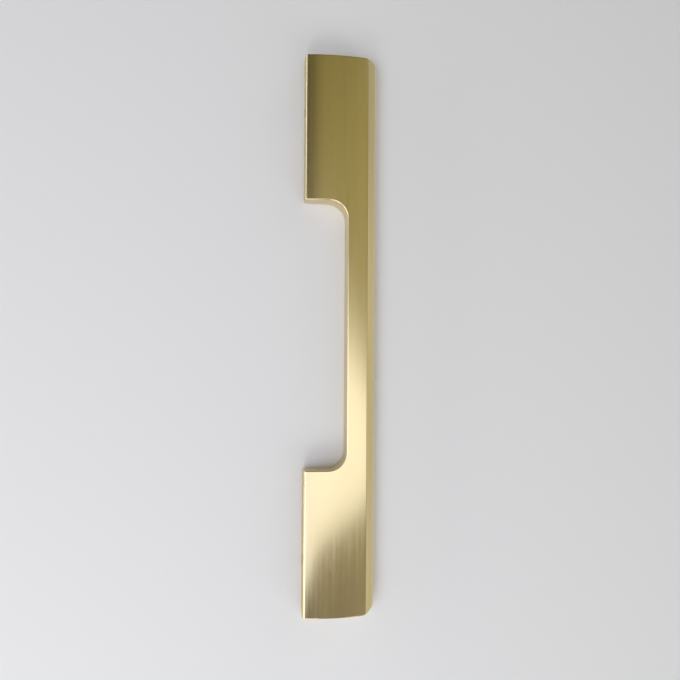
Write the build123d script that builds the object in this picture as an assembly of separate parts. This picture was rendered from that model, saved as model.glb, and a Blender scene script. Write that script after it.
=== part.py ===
from build123d import *
import os
from math import radians, sin, tan

# A one-piece pull handle for a door: two wide feet and a narrow grip, cut from one length of metal section.
# Millimetres. X runs along the handle. Y points out of its mounting faces, towards the door, so the handle
# stands out from the door towards -Y. Z runs across its width. The origin is midway between the two fixing
# holes, in the plane of the mounting faces.

# Along the handle
hole_pitch = 192.0
hole_to_end = 24.0
foot_length = 62.4
overall_length = hole_pitch + 2 * hole_to_end

# Section, the same all along the handle
projection = 31.0
body_width = 10.0
crown_height = 1.2
bevel_angle = 35.5
nose_radius = 2.0
crease_radius = 0.5
mounting_edge_radius = 1.2

# Outline seen from the side, cut through the whole width
finger_clearance = 18.4
gap_corner_radius = 8.0
right_corner_radius = 5.0
left_corner_radius = 6.5
corner_run_out = 0.15
cut_edge_radius = 0.45

# Fixing holes in the mounting faces, drilled for M4 threads
thread_diameter = 4.0
thread_pitch = 0.7
hole_depth = 12.0
drill_point_angle = 118.0
mouth_chamfer = 0.5

# Room that a cutter needs past the metal, and how near a point counts as lying in a plane
cutter_overrun = 2.0
in_plane = 0.01


def bar_section() -> Sketch:
    """Returns the bar's section in the YZ plane: crowned sides, two bevels and a rounded nose at the front."""
    half_body = body_width / 2
    half_edge = half_body - crown_height
    bevel = radians(bevel_angle)
    # The nose takes off the point where the bevels meet, so the point stands past the handle's front.
    point_y = -projection - nose_radius * (1 / sin(bevel) - 1)
    crease_y = point_y + half_edge / tan(bevel)
    with BuildSketch() as section:
        with BuildLine():
            Line((0, -half_edge), (0, half_edge))
            ThreePointArc((0, half_edge), (crease_y / 2, half_body), (crease_y, half_edge))
            Line((crease_y, half_edge), (point_y, 0))
            Line((point_y, 0), (crease_y, -half_edge))
            ThreePointArc((crease_y, -half_edge), (crease_y / 2, -half_body), (0, -half_edge))
        make_face()
        front_point = section.vertices().sort_by(Axis.X)[0]
        fillet(front_point, radius=nose_radius)
        creases = section.vertices().filter_by_position(Axis.X, crease_y - in_plane, crease_y + in_plane)
        fillet(creases, radius=crease_radius)
        back_corners = section.vertices().filter_by_position(Axis.X, -in_plane, in_plane)
        fillet(back_corners, radius=mounting_edge_radius)
    return Plane.YZ * section.sketch


def plan_cutter(profile: Sketch) -> Part:
    """Returns a plan profile as a cutter that passes right through the bar's width.

    Args:
        profile: the area to remove, drawn in the XY plane.
    """
    return extrude(profile, amount=body_width / 2 + cutter_overrun, both=True)


def finger_gap() -> Part:
    """Returns the cutter for the gap between the feet, open at the mounting faces."""
    gap_length = overall_length - 2 * foot_length
    with BuildSketch() as gap:
        with Locations((0, (cutter_overrun - finger_clearance) / 2)):
            Rectangle(gap_length, finger_clearance + cutter_overrun)
        inner_corners = gap.vertices().group_by(Axis.Y)[0]
        fillet(inner_corners, radius=gap_corner_radius)
    return plan_cutter(gap.sketch)


def front_corner(radius: float, side: int) -> Part:
    """Returns the cutter that rounds one front corner of the outline.

    The arc leaves the end of the handle square and meets its front a little short of running out flat.

    Args:
        radius: radius of the rounded corner.
        side: 1 for the end towards +X, -1 for the end towards -X.
    """
    end_x = side * overall_length / 2
    centre_x = side * (overall_length / 2 - radius)
    centre_y = -projection + radius - corner_run_out
    half_way = radius * sin(radians(45))
    past_x = end_x + side * cutter_overrun
    past_y = -projection - cutter_overrun
    with BuildSketch() as corner:
        with BuildLine():
            ThreePointArc(
                (end_x, centre_y),
                (centre_x + side * half_way, centre_y - half_way),
                (centre_x, centre_y - radius),
            )
            Polyline(
                (centre_x, centre_y - radius),
                (centre_x, past_y),
                (past_x, past_y),
                (past_x, centre_y),
                (end_x, centre_y),
            )
        make_face()
    return plan_cutter(corner.sketch)


def fixing_hole(centre_x: float) -> Part:
    """Returns the cutter for one fixing hole: tapping drill, its point and the chamfered mouth.

    Args:
        centre_x: place of the hole along the handle.
    """
    drill_radius = (thread_diameter - thread_pitch) / 2
    point_length = drill_radius / tan(radians(drill_point_angle / 2))
    # The mouth's cone goes on past the mounting face, so that the face is cut cleanly.
    outer_radius = drill_radius + mouth_chamfer + cutter_overrun
    with BuildSketch() as half_hole:
        with BuildLine():
            Polyline(
                (0, cutter_overrun),
                (outer_radius, cutter_overrun),
                (drill_radius, -mouth_chamfer),
                (drill_radius, -hole_depth),
                (0, -hole_depth - point_length),
                close=True,
            )
        make_face()
    return Pos(centre_x, 0, 0) * revolve(half_hole.sketch, Axis.Y)


def sharp_edges(bar: Part, blank: Part) -> ShapeList[Edge]:
    """Returns the sharp edges that the cuts and the sawn ends leave on the bar.

    The straight lines across the width are left out, because the outline is smooth there, apart from
    those in the mounting faces, where it turns a corner.

    Args:
        bar: the plain bar.
        blank: the bar after its outline is cut.
    """
    by_x = blank.faces().sort_by(Axis.X)
    left = new_edges(bar, combined=blank) + by_x[0].edges() + by_x[-1].edges()
    across = left.filter_by(Axis.Z)
    return left.filter_by(Axis.Z, reverse=True) + across.filter_by_position(Axis.Y, -in_plane, in_plane)


def pull_handle() -> Part:
    """Returns the finished handle: the bar cut to its outline, its cut edges eased and its holes drilled."""
    bar = extrude(bar_section(), amount=overall_length / 2, both=True)
    blank = bar - finger_gap()
    blank -= front_corner(right_corner_radius, 1)
    blank -= front_corner(left_corner_radius, -1)
    eased = blank.fillet(cut_edge_radius, sharp_edges(bar, blank))
    eased -= fixing_hole(hole_pitch / 2)
    eased -= fixing_hole(-hole_pitch / 2)
    return eased


os.makedirs("parts", exist_ok=True)
export_step(pull_handle(), "parts/pull_handle.step")
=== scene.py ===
import logging
import math
from collections.abc import Callable
from dataclasses import dataclass, field
from enum import Enum

import bpy
import numpy as np
from mathutils import Matrix, Vector


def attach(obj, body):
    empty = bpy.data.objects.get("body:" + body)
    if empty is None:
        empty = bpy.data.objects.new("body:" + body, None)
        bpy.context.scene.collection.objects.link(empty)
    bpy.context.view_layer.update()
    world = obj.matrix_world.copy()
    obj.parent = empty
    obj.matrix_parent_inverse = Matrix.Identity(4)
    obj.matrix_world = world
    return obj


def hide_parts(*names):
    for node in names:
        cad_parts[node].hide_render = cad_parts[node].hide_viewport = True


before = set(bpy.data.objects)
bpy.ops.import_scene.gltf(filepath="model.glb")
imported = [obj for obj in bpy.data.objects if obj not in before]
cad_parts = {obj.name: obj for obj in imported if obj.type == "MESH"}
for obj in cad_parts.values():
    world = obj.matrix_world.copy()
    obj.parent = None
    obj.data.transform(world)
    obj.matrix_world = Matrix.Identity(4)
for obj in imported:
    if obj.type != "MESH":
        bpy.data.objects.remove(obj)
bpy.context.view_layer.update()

MM = 0.001
GRAIN = "grain"
Array = np.ndarray
Socket = bpy.types.NodeSocket
Value = float | tuple | Socket
log = logging.getLogger("pull_handle")


class Side(Enum):
    """One end of the handle, seen with the grip in front: +X is the right-hand end."""

    RIGHT = 1
    LEFT = -1


class Finish(Enum):
    """The finishes on the handle, each with its material slot on the mesh."""

    BRUSHED = 0
    TAPPED = 1


@dataclass
class HandleSizes:
    """The handle's sizes in millimetres, as its construction gives them."""

    half_length: float = 120.0
    half_pitch: float = 96.0
    projection: float = 31.0
    half_width: float = 5.0
    crown: float = 1.2
    bevel_deg: float = 35.5
    nose_radius: float = 2.0
    crease_radius: float = 0.5
    mounting_edge_radius: float = 1.2
    half_gap: float = 57.6
    clearance: float = 18.4
    gap_corner_radius: float = 8.0
    corner_radius: dict = field(default_factory=lambda: {Side.RIGHT: 5.0, Side.LEFT: 6.5})
    corner_run_out: float = 0.15
    edge_radius: float = 0.45
    hole_radius: float = 1.65
    thread_radius: float = 2.0
    thread_pitch: float = 0.7
    thread_depth: float = 10.6
    thread_flank_deg: float = 30.0
    thread_run_out: float = 0.3
    hole_depth: float = 12.0
    drill_point_deg: float = 118.0
    mouth_chamfer: float = 0.5


@dataclass
class BarSection:
    """The bar's section: crowned sides, two bevels and a rounded nose.

    Throughout, x is the place along the handle, u the depth in front of the mounting faces, and z the height
    above the middle plane.
    """

    sizes: HandleSizes

    def __post_init__(self) -> None:
        """Works out the section's fixed points."""
        sizes = self.sizes
        self.half_edge = sizes.half_width - sizes.crown
        self.bevel = math.radians(sizes.bevel_deg)
        self.apex = sizes.projection + sizes.nose_radius * (1 / math.sin(self.bevel) - 1)
        self.crease = self.apex - self.half_edge / math.tan(self.bevel)
        half_chord = self.crease / 2
        self.crown_radius = (half_chord**2 + sizes.crown**2) / (2 * sizes.crown)
        self.crown_centre = (half_chord, sizes.half_width - self.crown_radius)
        self.nose_centre = sizes.projection - sizes.nose_radius
        slope = math.asin(half_chord / self.crown_radius)
        self.crease_blend = sizes.crease_radius * (1 - math.cos(self.bevel - slope))
        self.back_blend = sizes.mounting_edge_radius * (1 - math.sin(slope))

    def height(self, u: Array) -> Array:
        """Half the width at depth u, with sharp edges: the crown's arc, then the bevel, then the nose's arc.

        Args:
            u: depths.

        Returns:
            The height of the side face above the middle plane.
        """
        crown = self.crown_centre[1] + np.sqrt(self.crown_radius**2 - (u - self.crown_centre[0]) ** 2)
        bevel = (self.apex - u) * math.tan(self.bevel)
        past = np.maximum(u - self.nose_centre, 0.0)
        nose = np.sqrt(np.maximum(self.sizes.nose_radius**2 - past**2, 0.0))
        tangent = self.nose_centre + self.sizes.nose_radius * math.sin(self.bevel)
        return np.where(u < self.crease, crown, np.where(u < tangent, bevel, nose))

    def distance(self, u: Array, z: Array) -> Array:
        """Signed distance to the section's outline, negative inside.

        The crown, the bevel and the mounting face are three distances. Each pair is joined by a round
        blend, and the nose is the distance to its own circle.

        Args:
            u: depths.
            z: heights.

        Returns:
            The distances.
        """
        crown, front = self.faces(u, z)
        return rounded_meeting(rounded_meeting(crown, front, self.crease_blend), -u, self.back_blend)

    def faces(self, u: Array, z: Array) -> tuple[Array, Array]:
        """Signed distances to the crown and to the front, which is the bevel with the nose.

        Args:
            u: depths.
            z: heights.

        Returns:
            The two distances.
        """
        z = np.abs(z)
        crown = np.hypot(u - self.crown_centre[0], z - self.crown_centre[1]) - self.crown_radius
        line = (u - self.apex) * math.sin(self.bevel) + z * math.cos(self.bevel)
        from_centre = np.hypot(u - self.nose_centre, z) - self.sizes.nose_radius
        on_nose = (u - self.nose_centre) * math.cos(self.bevel) > z * math.sin(self.bevel)
        return crown, np.where(on_nose, from_centre, line)

    def arc_length(self, u: Array) -> Array:
        """Length along the section's side face from the mounting face to depth u, by summing short chords.

        Args:
            u: depths.

        Returns:
            The lengths.
        """
        steps = self.sizes.projection * np.sin(np.linspace(0.0, math.pi / 2, 4000))
        heights = self.height(steps)
        lengths = np.concatenate([[0.0], np.cumsum(np.hypot(np.diff(steps), np.diff(heights)))])
        return np.interp(u, steps, lengths)


@dataclass
class Outline:
    """The outline seen from the side: the two ends, the front corners and the gap between the feet."""

    sizes: HandleSizes

    def distance(self, x: Array, u: Array) -> Array:
        """Signed distance to the outline, negative in the metal: a rounded box, less one for the gap.

        Args:
            x: places along the handle.
            u: depths.

        Returns:
            The distances.
        """
        s = self.sizes
        radius = np.where(x > 0, s.corner_radius[Side.RIGHT], s.corner_radius[Side.LEFT])
        front, inner = s.projection + s.corner_run_out, s.gap_corner_radius
        outer = rounded_box(np.abs(x) - (s.half_length - radius), u - (front - radius), radius)
        gap = rounded_box(np.abs(x) - (s.half_gap - inner), u - (s.clearance - inner), inner)
        return np.maximum(outer, -gap)

    def end_at(self, u: Array, side: Side) -> tuple[Array, Array]:
        """Where the outline's end lies at depth u, and how squarely it faces along the handle there.

        Args:
            u: depths.
            side: the end.

        Returns:
            The distance of the end from the middle, and the x part of the end's normal.
        """
        s = self.sizes
        radius = s.corner_radius[side]
        sink = np.clip((u - (s.projection + s.corner_run_out - radius)) / radius, 0.0, 1.0)
        across = np.sqrt(1.0 - sink**2)
        return s.half_length - radius * (1.0 - across), across


def rounded_meeting(a: Array, b: Array, radius: Array | float) -> Array:
    """Distance to where two solids overlap, with the edge between them rounded.

    Inside both by more than the radius it is the larger distance. Nearer the edge it is the length of the
    two distances, each measured from a point one radius inside, less the radius.

    Args:
        a: distances to the first solid.
        b: distances to the second solid.
        radius: radius of the rounding.

    Returns:
        The distances to the overlap.
    """
    past = np.hypot(np.maximum(a + radius, 0.0), np.maximum(b + radius, 0.0))
    return np.minimum(np.maximum(a, b), -radius) + past


def rounded_box(a: Array, b: Array, radius: Array | float) -> Array:
    """Distance to a quarter plane whose corner is an arc about the point where a and b are nought.

    Args:
        a: how far each point lies past the arc's centre, one way.
        b: the same, the other way.
        radius: radius of the arc.

    Returns:
        The signed distances.
    """
    return np.hypot(np.maximum(a, 0.0), np.maximum(b, 0.0)) + np.minimum(np.maximum(a, b), 0.0) - radius


def together(*parts: Array | float) -> Array:
    """Puts coordinates together as points.

    Args:
        parts: for each coordinate an array, or a number that all the points share.

    Returns:
        The points, with the coordinates on the last axis.
    """
    return np.stack(np.broadcast_arrays(*parts), axis=-1)


def unit(vectors: Array) -> Array:
    """Gives vectors a length of one.

    Args:
        vectors: an array with the coordinates on the last axis.

    Returns:
        The unit vectors.
    """
    return vectors / np.maximum(np.linalg.norm(vectors, axis=-1, keepdims=True), 1e-9)


@dataclass
class HandleForm:
    """The handle's whole surface as the zero level of one distance."""

    sizes: HandleSizes
    milled_blend: float = 0.12
    wall_share: float = 0.55
    cut_wear: float = 0.5
    crease_wear: float = 0.22
    back_wear: float = 0.5

    def __post_init__(self) -> None:
        """Builds the section and the outline."""
        self.section = BarSection(self.sizes)
        self.outline = Outline(self.sizes)

    def distance(self, points: Array) -> Array:
        """Signed distance to the bar cut to its outline, with the cut edges rounded.

        Args:
            points: an (..., 3) array.

        Returns:
            The distances.
        """
        x, u, z = points[..., 0], -points[..., 1], points[..., 2]
        section, outline = self.section.distance(u, z), self.outline.distance(x, u)
        return rounded_meeting(section, outline, self.edge_radius(x, u, z))

    def edge_radius(self, x: Array, u: Array, z: Array) -> Array:
        """Blend radius of the cut edge: the real radius where the faces meet square, less elsewhere.

        Args:
            x: places along the handle.
            u: depths.
            z: heights.

        Returns:
            The blend radii.
        """
        step = 0.01
        section, outline = self.section.distance, self.outline.distance
        side_tilt = (section(u + step, z) - section(u - step, z)) / (2 * step)
        wall_tilt = (outline(x, u + step) - outline(x, u - step)) / (2 * step)
        return self.sizes.edge_radius * np.clip(1.0 - side_tilt * wall_tilt, 0.05, 1.0)

    def milled_and_shaded(self, points: Array) -> Array:
        """Share of the milled finish and of its darker colour, which is painted shade: whole on the mounting
        faces, less on the gap's walls and the ends.

        A point is on the milled side of an edge where its distance to the milled face is the larger one.

        Args:
            points: an (..., 3) array on the surface.

        Returns:
            The shares, from nought to one.
        """
        x, u, z = points[..., 0], -points[..., 1], points[..., 2]
        drawn, outline = np.maximum(*self.section.faces(u, z)), self.outline.distance(x, u)
        wall = outline - np.maximum(drawn, -u)
        mounting = np.minimum(-u - drawn, -u - outline)
        wall, mounting = (
            np.clip(0.5 + past / (2 * self.milled_blend), 0.0, 1.0) for past in (wall, mounting)
        )
        return np.maximum(self.wall_share * wall, mounting)

    def worn(self, points: Array) -> Array:
        """Share of wear at each point, which is one on a sharp edge and nought a little way in.

        The deeper of the two distances that meet at an edge tells how far a point lies from it. Where the
        cut outline runs along the front, its edge counts for nothing.

        Args:
            points: an (..., 3) array on the surface.

        Returns:
            The shares, from nought to one.
        """
        x, u, z = points[..., 0], -points[..., 1], points[..., 2]
        crown, front = self.section.faces(u, z)
        drawn, outline = np.maximum(crown, front), self.outline.distance(x, u)
        square = self.edge_radius(x, u, z) / self.sizes.edge_radius
        cut = square * (1.0 + np.minimum(np.maximum(drawn, -u), outline) / self.cut_wear)
        crease = 1.0 + np.minimum(crown, front) / self.crease_wear
        back = 1.0 + np.minimum(drawn, -u) / self.back_wear
        return np.clip(np.maximum(np.maximum(cut, crease), back), 0.0, 1.0)

    def slope(self, points: Array) -> Array:
        """The distance's gradient by central differences, which is the outward normal on the surface.

        Args:
            points: an (..., 3) array.

        Returns:
            Unit vectors of the same shape.
        """
        shifts = np.eye(3) * 0.002
        return unit(together(*(self.distance(points + d) - self.distance(points - d) for d in shifts)))

    def settle(self, points: Array) -> tuple[Array, Array]:
        """Carries points that lie near the surface onto it, by stepping down the distance.

        Args:
            points: an (..., 3) array on the sharp-edged form.

        Returns:
            The points on the rounded form, and the normals there.
        """
        for _ in range(8):
            points = points - self.distance(points)[..., None] * self.slope(points)
        return points, self.slope(points)


@dataclass
class Skin:
    """A closed mesh made of grids of numbered points, with a normal and a grain place at each corner."""

    points: list[Array] = field(default_factory=list)
    corners: list[Array] = field(default_factory=list)
    normals: list[Array] = field(default_factory=list)
    grain: list[Array] = field(default_factory=list)
    finish: list[Array] = field(default_factory=list)
    count: int = 0

    def number(self, points: Array) -> Array:
        """Adds points and numbers them.

        Args:
            points: an (..., 3) array in millimetres.

        Returns:
            Their numbers, in an array of the same shape less the last axis.
        """
        shape = points.shape[:-1]
        numbers = self.count + np.arange(int(np.prod(shape))).reshape(shape)
        self.points.append(points.reshape(-1, 3))
        self.count += numbers.size
        return numbers

    def cover(
        self,
        numbers: Array,
        normals: Array,
        grain: Array,
        outward: bool = True,
        finish: Finish = Finish.BRUSHED,
        keep: Array | None = None,
    ) -> None:
        """Adds the faces of one grid.

        Args:
            numbers: a (rows, columns) grid of point numbers.
            normals: the outward normal at each grid place.
            grain: the grain coordinates at each grid place, in millimetres.
            outward: True where the row's way times the column's way points out of the metal.
            finish: the finish on these faces.
            keep: which faces to keep, as a (rows - 1, columns - 1) array, or None for all.
        """
        order = [(0, 0), (1, 0), (1, 1), (0, 1)] if outward else [(0, 0), (0, 1), (1, 1), (1, 0)]
        rows, columns = numbers.shape[0] - 1, numbers.shape[1] - 1
        chosen = np.ones((rows, columns), bool) if keep is None else keep
        for store, grid in ((self.corners, numbers), (self.normals, normals), (self.grain, grain)):
            store.append(np.stack([grid[r : r + rows, c : c + columns] for r, c in order], axis=2)[chosen])
        self.finish.append(np.full(int(chosen.sum()), finish.value))

    def make(
        self, name: str, materials: list[bpy.types.Material], marks: dict[str, Callable[[Array], Array]]
    ) -> bpy.types.Object:
        """Makes the mesh and its object. A face whose corners fall together at a pole loses the spare one.

        Args:
            name: the object's name.
            materials: the materials, in the order of Finish.
            marks: by attribute name, what works out the attribute from the points.

        Returns:
            The object, in metres, at the origin.
        """
        stores = (self.corners, self.normals, self.grain, self.finish)
        corners, normals, grain, finish = map(np.concatenate, stores)
        live = corners != np.roll(corners, -1, axis=1)
        total = live.sum(axis=1)
        whole = total >= 3
        live, total, finish = live[whole], total[whole], finish[whole]
        used, loops = np.unique(corners[whole][live], return_inverse=True)
        points = np.concatenate(self.points)[used]
        starts = np.concatenate([[0], np.cumsum(total)[:-1]])
        mesh = bpy.data.meshes.new(name)
        mesh.vertices.add(len(points))
        mesh.vertices.foreach_set("co", (points * MM).astype(np.float32).ravel())
        mesh.loops.add(len(loops))
        mesh.loops.foreach_set("vertex_index", loops.astype(np.int32))
        mesh.polygons.add(len(total))
        mesh.polygons.foreach_set("loop_start", starts.astype(np.int32))
        mesh.polygons.foreach_set("material_index", finish.astype(np.int32))
        mesh.update(calc_edges=True)
        mesh.polygons.foreach_set("use_smooth", np.ones(len(total), bool))
        layer = mesh.uv_layers.new(name=GRAIN)
        layer.data.foreach_set("uv", (grain[whole][live] * MM).astype(np.float32).ravel())
        for mark, share in marks.items():
            attribute = mesh.attributes.new(mark, "FLOAT", "POINT")
            attribute.data.foreach_set("value", share(points).astype(np.float32))
        for material in materials:
            mesh.materials.append(material)
        mesh.validate()
        mesh.normals_split_custom_set(normals[whole][live].tolist())
        piece = bpy.data.objects.new(name, mesh)
        bpy.context.scene.collection.objects.link(piece)
        return piece


@dataclass
class HandleBody:
    """The one-piece handle: its outer surface and the two tapped fixing holes."""

    sizes: HandleSizes
    hole_steps: int = 12
    hole_block: float = 2.6
    rows_between: int = 28
    fan_corner: float = 3.0
    fan_foot: float = 14.4
    fan_power: float = 1.5
    straight_from: float = 92.0
    widening: float = 1.6
    end_from: float = 100.0
    lower_grain: float = 40.0
    wall_grain: float = -200.0
    end_grain: float = 90.0

    def __post_init__(self) -> None:
        """Builds the form and the spacings that every patch shares."""
        self.form = HandleForm(self.sizes)
        self.section = self.form.section
        self.near_edge = 1.0 - np.tan(np.radians([45.0, 36.0, 27.0, 18.0, 9.0, 0.0]))
        self.front_rows = self.front_depths()

    def front_depths(self) -> Array:
        """Depths of the rows that run straight along the bar, by the crease, the bevel and the nose.

        Returns:
            The depths.
        """
        section, near = self.section, np.array([0.04, 0.08, 0.13, 0.2])
        crease = section.crease + np.concatenate([[-0.82, -0.42], -near[::-1], [0.0], near])
        turn = np.linspace(section.bevel, math.pi / 2, 14)
        nose = section.nose_centre + self.sizes.nose_radius * np.sin(turn)
        bevel = np.linspace(crease[-1], nose[0], 8)[1:-1]
        return np.concatenate([crease, bevel, nose])

    def columns(self) -> dict[str, Array]:
        """The columns of one half, from the middle of the grip round the gap and along the foot to the end.

        The gap's edge is the grip's line, the corner's arc and the foot's wall. Each column sets off square
        to that edge, fans round, and reaches the front rows further along the bar. Columns along the
        mounting face bend less and less, until they run straight past the fixing hole.

        Returns:
            By name: the back points, the way each column sets off, its place along the bar at the front,
            and the radius that sets the spacing near the back edge.
        """
        s, near, corner = self.sizes, self.near_edge, self.sizes.gap_corner_radius
        inner, rise = s.half_gap - corner, s.clearance - corner
        grip = np.linspace(0.0, inner, 9)
        turn = np.linspace(0.0, math.pi / 2, 25)[1:]
        wall = np.concatenate([np.linspace(rise, 2.2, 7)[1:], [1.6, 1.1, 0.7], s.edge_radius * near[::-1]])
        mount = np.concatenate(
            [
                s.half_gap + s.edge_radius * near[1:],
                s.half_gap + np.array([0.7, 1.1, 1.6, 2.4, 4.0, 6.5, *range(10, 31, 4), 33.0]),
                s.half_pitch + np.linspace(-self.hole_block, self.hole_block, self.hole_steps + 1),
                [102.0, 107.0, 112.0, 116.0, 118.4],
                s.half_length - s.edge_radius * near[::-1],
            ]
        )
        past_gap, up = mount - s.half_gap, 1.0 - wall / rise
        left = np.clip(1.0 - past_gap / (self.straight_from - s.half_gap), 0.0, 1.0)
        arc = together(inner + corner * np.sin(turn), rise + corner * np.cos(turn))
        back = [together(grip, s.clearance), arc, together(s.half_gap, wall), together(mount, 0.0)]
        round_arc = together(np.sin(turn), np.cos(turn))
        ahead = [together(0.0 * grip, 1.0), round_arc, together(1.0, up), together(left, 1.0)]
        fan = [
            0.0 * grip,
            self.fan_corner * (turn / (math.pi / 2)) ** self.fan_power,
            self.fan_corner + (self.fan_foot - self.fan_corner) * up,
            self.fan_foot * left**self.fan_power,
        ]
        back, ahead, fan = map(np.concatenate, (back, ahead, fan))
        slack = s.mounting_edge_radius - s.edge_radius
        wider = s.edge_radius + slack * np.clip(past_gap / self.widening, 0.0, 1.0)
        radius = np.concatenate([np.full(len(back) - mount.size, s.edge_radius), wider])
        return {"back": back, "ahead": ahead, "front": back[:, 0] + fan, "radius": radius}

    def plan(self, side: Side) -> Array:
        """Places of the side face's grid in plan, for one half.

        Near the back edge a row keeps one distance from it. Between there and the front rows each column is
        a cubic that starts the way it sets off and ends square to the bar. Near the end the columns take
        the end's own line, so that they follow the rounded front corner.

        Args:
            side: the half.

        Returns:
            A (rows, columns, 2) array of places along the bar, counted from the middle, and depths.
        """
        s, grid = self.sizes, self.columns()
        ahead = grid["ahead"]
        near = grid["back"] + (self.near_edge[:, None] * grid["radius"])[..., None] * ahead
        begin, finish = near[-1], together(grid["front"], self.front_rows[0])
        way, gone = unit(ahead), finish - begin
        bend = way[:, :1] ** 2
        leave = way * (bend * math.pi / 2 * np.abs(gone[:, :1]) + (1 - bend) * gone[:, 1:])
        arrive = np.concatenate([0.0 * bend, gone[:, 1:] * (1 + bend * (math.pi / 2 - 1))], axis=1)
        t = np.linspace(0.0, 1.0, self.rows_between + 1)[1:-1, None, None]
        cubic = (
            (2 * t**3 - 3 * t**2 + 1) * begin
            + (t**3 - 2 * t**2 + t) * leave
            + (3 * t**2 - 2 * t**3) * finish
            + (t**3 - t**2) * arrive
        )
        places = np.concatenate([near, cubic, together(grid["front"], self.front_rows[:, None])])
        along, deep = places[..., 0], places[..., 1]
        edge_from = s.half_length - s.edge_radius
        end, across = self.form.outline.end_at(deep, side)
        share = np.clip((along - self.end_from) / (edge_from - self.end_from), 0.0, 1.0)
        squeezed = self.end_from + share * (end - s.edge_radius / across - self.end_from)
        edge = end - (s.half_length - along) / across
        along = np.where(along > edge_from, edge, np.where(along > self.end_from, squeezed, along))
        return together(along, deep)

    def build(self, materials: list[bpy.types.Material]) -> bpy.types.Object:
        """Makes the handle's mesh: two side faces, the wall between their back edges, the holes and the ends.

        Args:
            materials: the materials, in the order of Finish.

        Returns:
            The handle as one closed piece.
        """
        skin = Skin()
        left = self.plan(Side.LEFT)[:, :0:-1] * np.array([-1.0, 1.0])
        plan = np.concatenate([left, self.plan(Side.RIGHT)], axis=1)
        x, u = plan[..., 0], plan[..., 1]
        z = self.section.height(u)
        z[-1] = 0.0
        upper, upper_normals = self.form.settle(together(x, -u, z))
        flip = np.array([1.0, 1.0, -1.0])
        upper_numbers = skin.number(upper)
        lower_numbers = np.concatenate([skin.number((upper * flip)[:-1]), upper_numbers[-1:]])
        side_grain = together(x, self.section.arc_length(u))
        skin.cover(upper_numbers, upper_normals, side_grain)
        skin.cover(lower_numbers, upper_normals * flip, side_grain + self.lower_grain, outward=False)

        radius = self.columns()["radius"]
        heights = self.wall_heights(z[0], np.concatenate([radius[:0:-1], radius]))
        wall, wall_normals = self.form.settle(together(x[0], -u[0], heights))
        wall_numbers = np.concatenate([lower_numbers[:1], skin.number(wall[1:-1]), upper_numbers[:1]])
        run = np.concatenate([[0.0], np.cumsum(np.hypot(np.diff(x[0]), np.diff(u[0])))])
        keep = np.ones((heights.shape[0] - 1, heights.shape[1] - 1), bool)
        low, steps = self.near_edge.size - 1, self.hole_steps
        for side in Side:
            centre = side.value * self.sizes.half_pitch
            first = int(np.argmin(np.abs(x[0] - (centre - self.hole_block))))
            keep[low : low + steps, first : first + steps] = False
            block = (slice(low, low + steps + 1), slice(first, first + steps + 1))
            self.bore(skin, wall_numbers[block], wall[block], centre)
        skin.cover(wall_numbers, wall_normals, together(run + self.wall_grain, heights), keep=keep)

        for column, side in ((-1, Side.RIGHT), (0, Side.LEFT)):
            rims = [grid[:, column] for grid in (wall_numbers, lower_numbers, upper_numbers)]
            self.end_face(skin, side, rims, x[:, column], u[:, column], z[:, column])
        marks = {"milled_and_shaded": self.form.milled_and_shaded, "worn": self.form.worn}
        return skin.make("pull_handle_body", materials, marks)

    def wall_heights(self, edge: Array, radius: Array) -> Array:
        """Heights of the rows across a wall, close together near its two edges.

        Args:
            edge: height of the wall's upper edge at each column.
            radius: width of the close spacing at each column.

        Returns:
            A (rows, columns) array from the lower edge to the upper.
        """
        near = radius[None] * self.near_edge[:, None] * np.minimum(1.0, edge / (2.2 * radius))[None]
        share = np.linspace(-1.0, 1.0, self.hole_steps + 1)[1:-1, None]
        return np.concatenate([-(edge - near), share * (edge - near[-1]), (edge - near)[::-1]])

    def end_face(
        self, skin: Skin, side: Side, rims: list[Array], x: Array, u: Array, z: Array
    ) -> None:
        """Adds one end with its rounded front corner, as rows across the width that close at the nose.

        Args:
            skin: the mesh so far.
            side: which end.
            rims: point numbers at this end of the mounting face, the lower side face and the upper one.
            x: places along the bar of the upper side face's points here.
            u: their depths.
            z: their heights on the sharp-edged form.
        """
        s, first = self.sizes, 6
        spacing = np.full(z.size, s.edge_radius)
        spacing[:first] = np.linspace(s.mounting_edge_radius, s.edge_radius, first)
        heights = self.wall_heights(np.maximum(z, 1e-6), spacing)
        face, normals = self.form.settle(together(x, -u, heights))
        numbers = np.zeros(heights.shape, int)
        numbers[1:-1, 1:-1] = skin.number(face[1:-1, 1:-1])
        numbers[:, 0], numbers[0], numbers[-1] = rims
        numbers[:, -1] = rims[-1][-1]
        grain = together(self.section.arc_length(u) + self.end_grain, heights)
        skin.cover(numbers, normals, grain, outward=side is Side.RIGHT)

    def thread(self, centre: float, deep: Array, around: Array) -> Array:
        """The bore's surface.

        The radius is the larger of the mouth's chamfer and the thread. The thread is a flat-topped groove
        whose middle climbs one pitch in each turn, and it fades out above the bottom.

        Args:
            centre: the hole's place along the bar.
            deep: depths below the mounting face.
            around: turns about the hole, in radians.

        Returns:
            The points there.
        """
        s = self.sizes
        phase = (deep / s.thread_pitch + around / (2 * math.pi)) % 1.0
        cut = s.thread_radius - s.hole_radius
        flank = cut * math.tan(math.radians(s.thread_flank_deg))
        from_groove = np.abs(phase - 0.5) * s.thread_pitch
        half_flat = s.thread_pitch / 16
        groove = np.clip((half_flat + flank - from_groove) / flank, 0.0, 1.0)
        fade = np.clip((s.thread_depth - deep) / s.thread_pitch, 0.0, 1.0)
        radius = np.maximum(s.hole_radius + s.mouth_chamfer - deep, s.hole_radius + cut * groove * fade)
        return together(centre + radius * np.cos(around), -deep, radius * np.sin(around))

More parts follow.
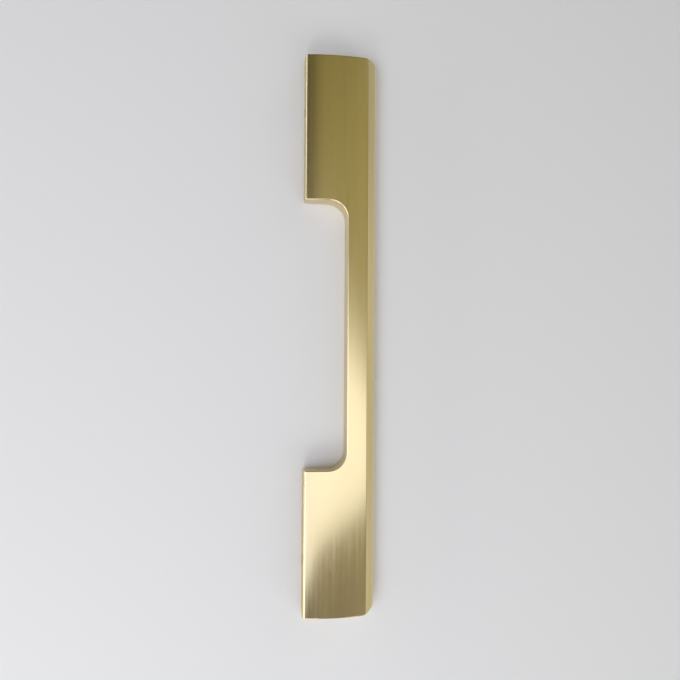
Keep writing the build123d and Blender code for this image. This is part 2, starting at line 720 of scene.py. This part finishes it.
    def bore(self, skin: Skin, numbers: Array, points: Array, centre: float) -> None:
        """Adds one tapped hole: the flat round its mouth, the chamfer, the thread and the drill point.

        Args:
            skin: the mesh so far.
            numbers: point numbers of the square block that the hole replaces in the mounting face.
            points: those points.
            centre: the hole's place along the bar.
        """
        s = self.sizes
        edge, rim = (
            np.concatenate([grid[0, :-1], grid[:-1, -1], grid[-1, :0:-1], grid[:0:-1, 0]])
            for grid in (numbers, points)
        )
        count = edge.size
        close = np.concatenate([np.arange(count), [0]])
        turn = math.radians(-135.0) + np.arange(count) * 2 * math.pi / count
        mouth = s.hole_radius + s.mouth_chamfer
        circle = together(centre + mouth * np.cos(turn), 0.0, mouth * np.sin(turn))
        rings = np.stack([rim + (circle - rim) * share for share in (0.0, 0.5, 1.0)])
        ring_numbers = np.concatenate([edge[None], skin.number(rings[1:])])
        flat = np.broadcast_to([0.0, 1.0, 0.0], rings.shape)
        skin.cover(ring_numbers[:, close], flat[:, close], rings[:, close, ::2])

        rows = np.arange(0.0, s.thread_depth, s.thread_pitch / 12)
        rows = np.concatenate([rows, [s.thread_depth + s.thread_run_out, s.hole_depth]])
        angle = turn[close] + np.where(np.arange(count + 1) == count, 2 * math.pi, 0.0)
        deep, around = np.meshgrid(rows, angle, indexing="ij")
        step = 0.004
        above = np.maximum(deep - step, 0.0)
        down = self.thread(centre, deep + step, around) - self.thread(centre, above, around)
        sideways = self.thread(centre, deep, around + step) - self.thread(centre, deep, around - step)
        surface = self.thread(centre, deep, around)
        numbers = np.concatenate([ring_numbers[-1:], skin.number(surface[1:, :-1])])
        grain, tapped = together(around * s.thread_radius, deep), Finish.TAPPED
        skin.cover(numbers[:, close], unit(np.cross(down, sideways)), grain, finish=tapped)

        flare = math.tan(math.radians(s.drill_point_deg / 2))
        share = np.linspace(1.0, 0.0, 5)[:, None] * np.ones(count)
        radius, sunk = s.hole_radius * share, s.hole_depth + s.hole_radius / flare * (1.0 - share)
        cone = together(centre + radius * np.cos(turn), -sunk, radius * np.sin(turn))
        inward = np.broadcast_to(unit(together(-np.cos(turn), flare, -np.sin(turn))), cone.shape)
        tip = np.broadcast_to(skin.number(cone[-1:, :1]), (1, count))
        numbers = np.concatenate([numbers[-1:], skin.number(cone[1:-1]), tip])
        grain = together(turn * s.hole_radius, sunk)
        skin.cover(numbers[:, close], inward[:, close], grain[:, close], finish=tapped)


class NodeBench:
    """Short ways to add nodes to the tree of a material or a world.

    A value that feeds an input is a number, a colour, or another node's output.
    """

    def __init__(self, owner: bpy.types.Material | bpy.types.World) -> None:
        """Turns on the owner's nodes.

        Args:
            owner: the material or world whose tree is filled.
        """
        owner.use_nodes = True
        self.owner = owner
        self.tree = owner.node_tree

    def feed(self, node: bpy.types.Node, inputs: dict) -> None:
        """Feeds a node's inputs.

        Args:
            node: the node.
            inputs: the value for each input, by name or number.
        """
        for name, value in inputs.items():
            socket = node.inputs[name]
            if isinstance(value, Socket):
                self.tree.links.new(value, socket)
            else:
                socket.default_value = (*value, 1.0) if socket.type == "RGBA" else value

    def add(self, kind: str, inputs: dict, output: int | str = 0, **settings: object) -> Socket:
        """Adds one node and feeds it.

        Args:
            kind: the node's type, less its first part, which all shader nodes share.
            inputs: the value for each input, by name or number.
            output: the output wanted.
            settings: the node's own settings, made before it is fed.

        Returns:
            The output.
        """
        node = self.tree.nodes.new("ShaderNode" + kind)
        for name, setting in settings.items():
            setattr(node, name, setting)
        self.feed(node, inputs)
        return node.outputs[output]

    def maths(self, operation: str, *values: Value) -> Socket:
        """Adds a math node.

        Args:
            operation: the node's operation.
            values: what it works on.

        Returns:
            The result.
        """
        return self.add("Math", dict(enumerate(values)), operation=operation)

    def mix(self, first: Value, other: Value, share: Value, kind: str = "RGBA") -> Socket:
        """Adds a mix of two values.

        Args:
            first: the value at a share of nought.
            other: the value at a share of one.
            share: the share.
            kind: RGBA or FLOAT.

        Returns:
            The mixed value.
        """
        low, high, output = {"FLOAT": (2, 3, 0), "RGBA": (6, 7, 2)}[kind]
        return self.add("Mix", {0: share, low: first, high: other}, output, data_type=kind)

    def rise(
        self, value: Value, reach: tuple, levels: tuple = (0.0, 1.0), kind: str = "SMOOTHSTEP"
    ) -> Socket:
        """Adds a level that changes while a value crosses a reach, and is even on both sides of it.

        Args:
            value: the value.
            reach: where the change begins and ends.
            levels: the levels before and after it.
            kind: SMOOTHSTEP or LINEAR.

        Returns:
            The level.
        """
        names = ("Value", "From Min", "From Max", "To Min", "To Max")
        return self.add("MapRange", dict(zip(names, (value, *reach, *levels))), interpolation_type=kind)

    def ramp(self, value: Value, stops: list[tuple[float, tuple]]) -> Socket:
        """Adds a colour ramp.

        Args:
            value: the place along the ramp.
            stops: the place and the colour of each stop, in order.

        Returns:
            The colour.
        """
        colour = self.add("ValToRGB", {"Fac": value})
        elements = colour.node.color_ramp.elements
        elements.remove(elements[-1])
        for number, (spot, shade) in enumerate(stops):
            stop = elements.new(spot) if number else elements[0]
            stop.position = spot
            stop.color = (*shade, 1.0)
        return colour

    def axes(self, coordinates: str) -> list[Socket]:
        """Adds texture coordinates, split up.

        Args:
            coordinates: the kind of coordinates.

        Returns:
            Their X, Y and Z.
        """
        place = self.add("TexCoord", {}, coordinates)
        return list(self.add("SeparateXYZ", {"Vector": place}).node.outputs)

    def grain_noise(
        self, along: float, across: float, detail: float, roughness: float
    ) -> Socket:
        """Adds noise on the grain coordinates. Squeezed across them, it is drawn out into streaks.

        Args:
            along: its scale along the grain, per metre.
            across: its scale across the grain, per metre.
            detail: how many finer layers it has.
            roughness: how strong those are.

        Returns:
            The noise's value.
        """
        grain = self.add("UVMap", {}, uv_map=GRAIN)
        place = self.add("Mapping", {"Vector": grain, "Scale": (along, across, 1.0)})
        inputs = {"Vector": place, "Scale": 1.0, "Detail": detail, "Roughness": roughness}
        return self.add("TexNoise", inputs, noise_dimensions="2D")

    def shade(self, inputs: dict) -> bpy.types.Material:
        """Feeds the material's own shader.

        Args:
            inputs: the value for each of the shader's inputs, by name.

        Returns:
            The material.
        """
        self.feed(self.tree.nodes["Principled BSDF"], inputs)
        return self.owner

    def glow(self, colour: tuple, strength: Value, clear: bool = False) -> bpy.types.Material:
        """Makes the material glow, in place of its shader.

        Args:
            colour: the glow's colour.
            strength: its strength.
            clear: True to let what is behind it through as well.

        Returns:
            The material.
        """
        nodes = self.tree.nodes
        nodes.remove(nodes["Principled BSDF"])
        surface = self.add("Emission", {"Color": colour, "Strength": strength})
        if clear:
            surface = self.add("AddShader", {0: surface, 1: self.add("BsdfTransparent", {})})
        self.feed(nodes["Material Output"], {"Surface": surface})
        return self.owner


@dataclass(frozen=True)
class BrushedBrass:
    """Brass brushed along the handle, milled plain or worn paler where the mesh says so. The milled faces
    also get a darker colour, which is painted shade.
    """

    colour: tuple = (0.815, 0.68, 0.395)
    streak_colour: tuple = (0.765, 0.632, 0.36)
    # Darker than the brushed brass: painted shade, standing in for the dim floor that the milled faces
    # reflect.
    milled_shade_colour: tuple = (0.62, 0.50, 0.27)
    worn_colour: tuple = (0.84, 0.71, 0.43)
    roughness: tuple = (0.13, 0.21)
    milled_roughness: float = 0.34
    worn_roughness: float = 0.20
    anisotropy: float = 0.4
    streaks_per_metre: float = 9000.0
    bands_per_metre: float = 900.0
    streak_stretch: float = 60.0
    bump_strength: float = 0.17
    bump_depth: float = 0.00001
    noise_roughness: float = 0.6
    gloss_reach: tuple = (0.3, 0.7)
    tint_reach: tuple = (0.3, 0.6)
    least_mark: float = 0.75
    quarter_turn: float = 0.25

    def material(self) -> bpy.types.Material:
        """Makes the material.

        Fine streaks and wider bands are summed. The sum moves the roughness, the colour and a slight bump.

        Returns:
            The material.
        """
        bench = NodeBench(bpy.data.materials.new("brushed_brass"))
        fine, wide = (
            bench.grain_noise(across / self.streak_stretch, across, detail, self.noise_roughness)
            for across, detail in ((self.streaks_per_metre, 2.0), (self.bands_per_metre, 3.0))
        )
        streaks = bench.mix(fine, wide, 0.5, "FLOAT")
        rough = bench.rise(streaks, self.gloss_reach, self.roughness, "LINEAR")
        colour = bench.ramp(streaks, list(zip(self.tint_reach, (self.streak_colour, self.colour))))
        uneven = bench.rise(streaks, self.tint_reach, (self.least_mark, 1.0), "LINEAR")
        # Milled faces get a rougher finish and a darker colour, which is painted shade; worn edges get a
        # smoother, paler finish.
        for mark, other_rough, other_colour in (
            ("milled_and_shaded", self.milled_roughness, self.milled_shade_colour),
            ("worn", self.worn_roughness, self.worn_colour),
        ):
            share = bench.maths("MULTIPLY", bench.add("Attribute", {}, "Fac", attribute_name=mark), uneven)
            rough = bench.mix(rough, other_rough, share, "FLOAT")
            colour = bench.mix(colour, other_colour, share)
        bump = {"Strength": self.bump_strength, "Distance": self.bump_depth, "Height": streaks}
        return bench.shade(
            {
                "Metallic": 1.0,
                "Base Color": colour,
                "Roughness": rough,
                "Anisotropic": self.anisotropy,
                "Anisotropic Rotation": self.quarter_turn,
                "Normal": bench.add("Bump", bump),
                "Tangent": bench.add("Tangent", {}, direction_type="UV_MAP", uv_map=GRAIN),
            }
        )


@dataclass(frozen=True)
class TappedBrass:
    """Machined brass inside the tapped holes, duller than the outside, with fine rings along the thread. Its
    colour is far darker than the outside brass, which paints shade into the bore.
    """

    # Far darker than the outside brass: painted shade inside the holes.
    colour: tuple = (0.42, 0.31, 0.15)
    darkest: float = 0.8
    roughness: tuple = (0.28, 0.44)
    rings: tuple = (300.0, 9000.0)
    bump_strength: float = 0.15
    bump_depth: float = 0.00002

    def material(self) -> bpy.types.Material:
        """Makes the material.

        Returns:
            The material.
        """
        bench = NodeBench(bpy.data.materials.new("tapped_brass"))
        rings = bench.grain_noise(*self.rings, 2.0, 0.5)
        dark = tuple(self.darkest * part for part in self.colour)
        bump = {"Strength": self.bump_strength, "Distance": self.bump_depth, "Height": rings}
        return bench.shade(
            {
                "Metallic": 1.0,
                "Base Color": bench.ramp(rings, [(0.0, dark), (1.0, self.colour)]),
                "Roughness": bench.rise(rings, (0.0, 1.0), self.roughness, "LINEAR"),
                "Normal": bench.add("Bump", bump),
            }
        )


@dataclass
class Handle:
    """The pull handle with its finishes."""

    sizes: HandleSizes = field(default_factory=HandleSizes)
    brushed: BrushedBrass = field(default_factory=BrushedBrass)
    tapped: TappedBrass = field(default_factory=TappedBrass)

    def build(self) -> bpy.types.Object:
        """Makes the handle, which stands for the plain solid of the same form.

        Returns:
            The handle.
        """
        piece = HandleBody(self.sizes).build([self.brushed.material(), self.tapped.material()])
        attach(piece, "root")
        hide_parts("pull_handle")
        return piece


def stage_card(
    name: str, points: list, faces: list, material: bpy.types.Material, seen: bool = False
) -> bpy.types.Object:
    """Makes one flat piece of the studio.

    Args:
        name: its name.
        points: its points in metres.
        faces: its faces.
        material: its material.
        seen: True if the camera sees it.

    Returns:
        The piece.
    """
    mesh = bpy.data.meshes.new(name)
    mesh.from_pydata(points, [], faces)
    mesh.materials.append(material)
    card = bpy.data.objects.new(name, mesh)
    card.visible_camera = seen
    bpy.context.scene.collection.objects.link(card)
    return card


@dataclass
class StudioFloor:
    """A plain pale floor under the handle."""

    half_size: float = 1.3
    colour: tuple = (0.870, 0.862, 0.850)
    roughness: float = 0.95
    shine: float = 0.1

    def build(self, height: float) -> bpy.types.Object:
        """Makes the floor: a flat grid of nine points at one height.

        Args:
            height: the height that the handle's lowest side rests at.

        Returns:
            The floor.
        """
        across = np.linspace(-self.half_size, self.half_size, 3)
        x, y = np.meshgrid(across, across)
        points = np.stack([x, y, np.full_like(x, height)], axis=-1)
        number = np.arange(9).reshape(3, 3)
        faces = np.stack([number[:-1, :-1], number[:-1, 1:], number[1:, 1:], number[1:, :-1]], axis=-1)
        look = {"Base Color": self.colour, "Roughness": self.roughness, "Specular IOR Level": self.shine}
        paper = NodeBench(bpy.data.materials.new("floor_paper")).shade(look)
        shape = points.reshape(-1, 3).tolist(), faces.reshape(-1, 4).tolist()
        return stage_card("studio_floor", *shape, paper, seen=True)


@dataclass
class SoftBox:
    """A broad soft box overhead. Its cloth fades at the edges, sharply at one end and slowly at the other."""

    height: float = 1.0
    low_end: float = -0.62
    high_end: float = 0.55
    low_edge: float = -0.342
    low_swing: float = 0.055
    low_swing_from: float = 0.10
    low_swing_reach: float = 0.25
    low_jog: float = 0.04
    low_jog_reach: tuple = (0.09, 0.16)
    low_fade: tuple = (-0.022, 0.022)
    high_edge: float = -0.005
    high_slant: float = 0.26
    high_slant_from: float = 0.42
    high_slant_most: float = 0.10
    high_from: float = -0.09
    high_fade: float = 0.112
    high_power: float = 1.25
    near_side: tuple = (-0.93, -0.63)
    far_side: tuple = (1.05, 1.35)
    brightness: float = 1.135
    brighter_to_far: float = 0.18
    far_glare: float = 1.25
    far_glare_reach: tuple = (0.29, 0.52)
    colour: tuple = (0.95, 1.005, 1.22)

    def build(self) -> bpy.types.Object:
        """Makes the box's cloth as a card that faces down and glows.

        Returns:
            The card.
        """
        ends = (self.near_side[0], self.far_side[1])
        points = [(x, y, self.height) for y in ends for x in (self.low_end, self.high_end)]
        return stage_card("soft_box", points, [(0, 2, 3, 1)], self.cloth())

    def cloth(self) -> bpy.types.Material:
        """Makes the cloth's glow, a product of its brightness and four fades in the card's own X and Y.

        The low edge curves away exponentially with Y and has one small jog. The high edge is slanted. From a
        little inside it the glow falls as exp(-d^p), with d the distance in fade lengths and p the power. The
        two sides fade by a smooth step each. The brightness grows with Y, and has a glare at the far side.

        Returns:
            The material.
        """
        bench = NodeBench(bpy.data.materials.new("soft_box_cloth"))
        maths = bench.maths
        x, y, _ = bench.axes("Object")
        curve = maths("DIVIDE", maths("SUBTRACT", y, self.low_swing_from), self.low_swing_reach)
        curve = maths("MULTIPLY", maths("EXPONENT", curve), self.low_swing)
        jog = maths("MULTIPLY", bench.rise(y, self.low_jog_reach), self.low_jog)
        edge = maths("SUBTRACT", self.low_edge, maths("ADD", curve, jog))
        level = bench.rise(maths("SUBTRACT", x, edge), self.low_fade)

        slant = maths("MULTIPLY", maths("ADD", y, self.high_slant_from), self.high_slant)
        slant = maths("ADD", maths("MINIMUM", slant, self.high_slant_most), self.high_edge)
        past = maths("MAXIMUM", maths("SUBTRACT", maths("SUBTRACT", x, slant), self.high_from), 0.0)
        past = maths("POWER", maths("DIVIDE", past, self.high_fade), self.high_power)
        level = maths("MULTIPLY", level, maths("EXPONENT", maths("MULTIPLY", past, -1.0)))

        for side, levels in ((self.near_side, (0.0, 1.0)), (self.far_side, (1.0, 0.0))):
            level = maths("MULTIPLY", level, bench.rise(y, side, levels))
        glare = maths("MULTIPLY", bench.rise(y, self.far_glare_reach), self.far_glare)
        bright = maths("ADD", maths("MULTIPLY", y, self.brighter_to_far), self.brightness)
        return bench.glow(self.colour, maths("MULTIPLY", level, maths("ADD", bright, glare)), clear=True)


@dataclass
class GlowPanel:
    """An upright soft panel that glows evenly, between two corners that share an x or a y."""

    name: str
    low: tuple
    high: tuple
    brightness: float
    colour: tuple = (1.0, 0.995, 0.99)

    def build(self) -> bpy.types.Object:
        """Makes the panel.

        Returns:
            The panel.
        """
        (x0, y0, z0), (x1, y1, z1) = self.low, self.high
        points = [(x0, y0, z0), (x1, y1, z0), (x1, y1, z1), (x0, y0, z1)]
        material = NodeBench(bpy.data.materials.new(self.name + "_glow")).glow(self.colour, self.brightness)
        return stage_card(self.name, points, [(0, 1, 2, 3)], material)


PANELS = (
    GlowPanel("near_end_panel_left", (-0.85, 0.02, 0.40), (-0.85, 0.50, 1.10), 3.05),
    GlowPanel("near_end_panel_right", (-0.85, -0.45, 0.40), (-0.85, -0.30, 1.10), 3.05),
    GlowPanel("left_window", (-3.00, 1.50, 0.00), (1.60, 1.50, 0.325), 3.1),
    GlowPanel("right_panel_near", (-1.95, -1.45, 0.00), (-1.10, -1.45, 1.95), 2.7),
    GlowPanel("right_panel_far", (1.10, -1.45, 0.00), (1.95, -1.45, 1.95), 1.8),
)


@dataclass
class KeyLamp:
    """A round lamp low on one side, which gives the floor some light and the handle its shadow."""

    name: str
    place: tuple
    power: float
    size: float = 0.20

    def build(self) -> bpy.types.Object:
        """Makes the lamp, aimed at the handle.

        Returns:
            The lamp.
        """
        light = bpy.data.lights.new(self.name, "AREA")
        light.shape = "DISK"
        light.size = self.size
        light.energy = self.power
        lamp = bpy.data.objects.new(self.name, light)
        lamp.location = self.place
        lamp.rotation_euler = (-Vector(self.place)).to_track_quat("-Z", "Y").to_euler()
        bpy.context.scene.collection.objects.link(lamp)
        return lamp


LAMPS = (
    KeyLamp("near_key_lamp", (-0.36, 0.22, 0.27), 0.13),
    KeyLamp("side_key_lamp", (-0.30, 0.45, 0.25), 0.12),
)


@dataclass
class StudioRoom:
    """The room round the floor: a warm ceiling, a window on one side, a pale wall facing it and dim ends."""

    ceiling: tuple = (
        (-0.45, (0.235, 0.215, 0.175)),
        (-0.10, (0.34, 0.31, 0.20)),
        (0.27, (0.35, 0.325, 0.165)),
        (0.45, (0.265, 0.245, 0.12)),
    )
    dim_reach: tuple = (0.02, 0.24)
    dim_levels: tuple = (1.0, 0.28)
    lift_reach: tuple = (-0.48, -0.24)
    lift_levels: tuple = (1.22, 1.0)
    ends: tuple = (0.04, 0.04, 0.035)
    ends_rise: tuple = (0.62, 0.86)
    wall: tuple = (0.63, 0.625, 0.535)
    wall_reach: tuple = (-0.68, -0.54)
    wall_top: tuple = (0.40, 0.54)
    wall_dim_reach: tuple = (0.05, 0.40)
    wall_dim_levels: tuple = (1.0, 0.72)
    window: tuple = (0.215, 0.215, 0.22)
    window_reach: tuple = (0.26, 0.36)
    backdrop: tuple = (0.66, 0.665, 0.67)

    def build(self) -> None:
        """Makes the world, whose colour depends on the direction looked in.

        The ceiling's colour is blended along X. It dims with Y, and is lifted where Y is lowest. Low down it
        gives way to the dim ends, then to the window where Y is high and to the wall where Y is low. The
        camera itself sees one plain pale backdrop.
        """
        world = bpy.data.worlds.new("studio_room")
        bpy.context.scene.world = world
        bench = NodeBench(world)
        x, y, z = bench.axes("Generated")
        begin, end = self.ceiling[0][0], self.ceiling[-1][0]
        stops = [((spot - begin) / (end - begin), colour) for spot, colour in self.ceiling]
        ceiling = bench.ramp(bench.rise(x, (begin, end), kind="LINEAR"), stops)
        dim = bench.rise(y, self.dim_reach, self.dim_levels)
        level = bench.maths("MULTIPLY", dim, bench.rise(y, self.lift_reach, self.lift_levels))
        room = bench.add("VectorMath", {0: ceiling, "Scale": level}, operation="SCALE")
        room = bench.mix(room, self.ends, bench.rise(z, self.ends_rise, (1.0, 0.0)))
        room = bench.mix(room, self.window, bench.rise(y, self.window_reach))
        beside = bench.rise(y, self.wall_reach, (1.0, 0.0))
        beside = bench.maths("MULTIPLY", beside, bench.rise(x, self.wall_dim_reach, self.wall_dim_levels))
        low = bench.maths("MULTIPLY", beside, bench.rise(z, self.wall_top, (1.0, 0.0)))
        room = bench.mix(room, self.wall, low)
        room = bench.mix(room, self.backdrop, bench.add("LightPath", {}, "Is Camera Ray"))
        bench.feed(world.node_tree.nodes["Background"], {"Color": room, "Strength": 1.0})


@dataclass
class OverheadCamera:
    """The camera, which looks down on the handle as it lies on its side, with the handle's length upright."""

    place: tuple = (-0.0058849, 0.0257075, 0.2841891)
    lens: float = 35.098
    lean: float = 0.1453
    nod: float = 0.0136
    roll: float = 0.0060

    def build(self) -> bpy.types.Object:
        """Makes the camera.

        The camera looks down with +X upright. It leans about X, nods about its own right, and rolls.

        Returns:
            The camera.
        """
        data = bpy.data.cameras.new("camera")
        data.lens = self.lens
        data.sensor_width = 36.0
        data.clip_start = 0.01
        data.clip_end = 20.0
        camera = bpy.data.objects.new("camera", data)
        matrix = Matrix.Translation(self.place)
        for angle, axis in ((-self.lean, "X"), (-math.pi / 2, "Z"), (self.nod, "X"), (self.roll, "Z")):
            matrix = matrix @ Matrix.Rotation(angle, 4, axis)
        camera.matrix_world = matrix
        bpy.context.scene.collection.objects.link(camera)
        bpy.context.scene.camera = camera
        return camera


def main() -> None:
    """Builds the handle, the floor, the lights, the room and the camera, and reports on them."""
    logging.basicConfig(level=logging.INFO, format="%(name)s: %(message)s")
    handle = Handle()
    piece = handle.build()
    log.info("%s has %d points and %d faces", piece.name, len(piece.data.vertices), len(piece.data.polygons))
    floor = StudioFloor().build(-handle.sizes.half_width * MM)
    for part in (floor, SoftBox().build(), *(light.build() for light in PANELS + LAMPS)):
        log.info("%s is in place", part.name)
    StudioRoom().build()
    camera = OverheadCamera().build()
    log.info("camera with a %.1f mm lens", camera.data.lens)
    bpy.context.scene.view_settings.view_transform = "Standard"


if __name__ == "__main__":
    main()
